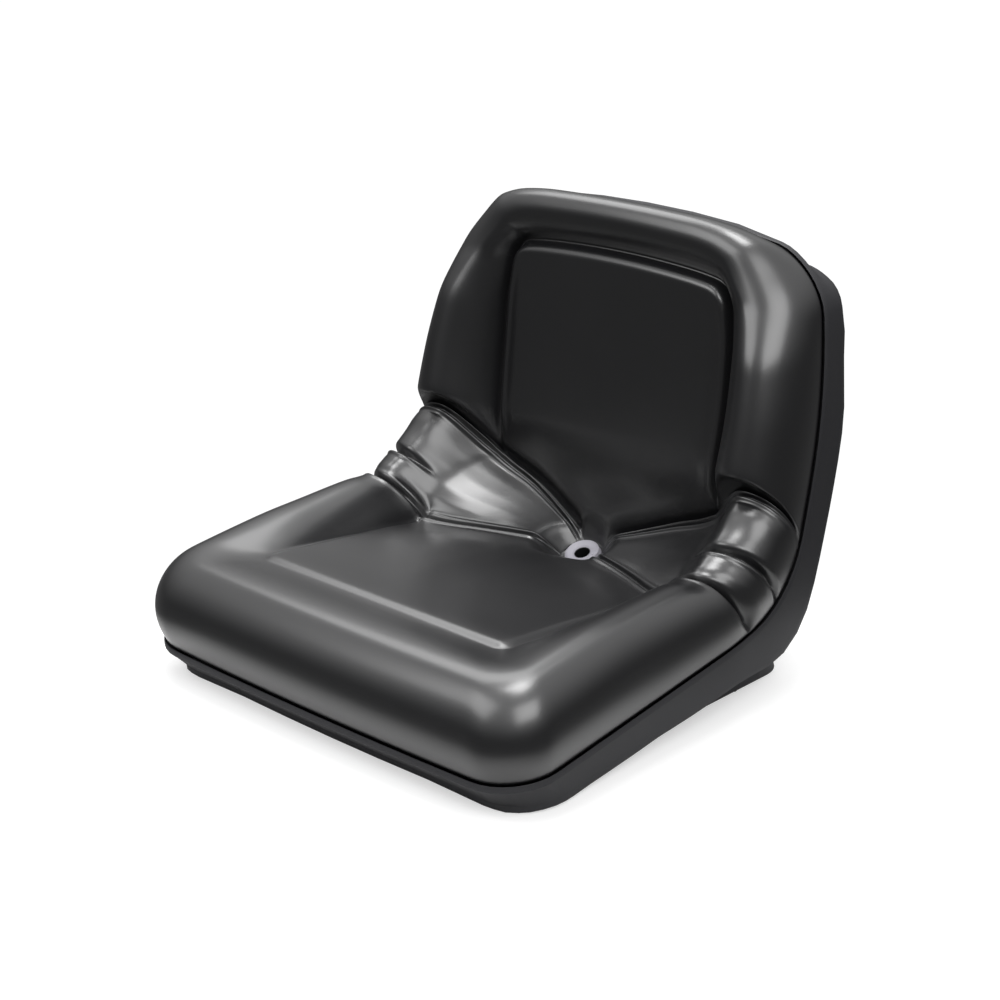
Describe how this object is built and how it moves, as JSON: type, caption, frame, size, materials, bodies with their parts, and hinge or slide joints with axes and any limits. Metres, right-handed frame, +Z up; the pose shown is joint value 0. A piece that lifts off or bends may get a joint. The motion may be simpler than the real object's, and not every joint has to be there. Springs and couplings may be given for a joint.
{
  "type": "bucket seat",
  "caption": "Low-back bucket seat: one moulded cushion with raised bolsters, crossing grooves and side bellows folds, set in a ribbed base shell.",
  "frame": {"origin": "centre of the four threaded inserts, on the flat underside of the plinth", "axes": "+X to the right as seen from the front of the seat, +Y from the front edge towards the back rest, +Z up"},
  "size_m": [0.489, 0.5099, 0.4405],
  "materials": {
    "vinyl_skin": "satin",
    "shell_plastic": "fine texture",
    "grommet_rubber": "matte",
    "insert_metal": "machined"
  },
  "bodies": {
    "root": {"cushion": "vinyl_skin", "base_shell": "shell_plastic", "drain_grommet": "grommet_rubber", "mounting_inserts": "insert_metal"}
  },
  "joints": []
}
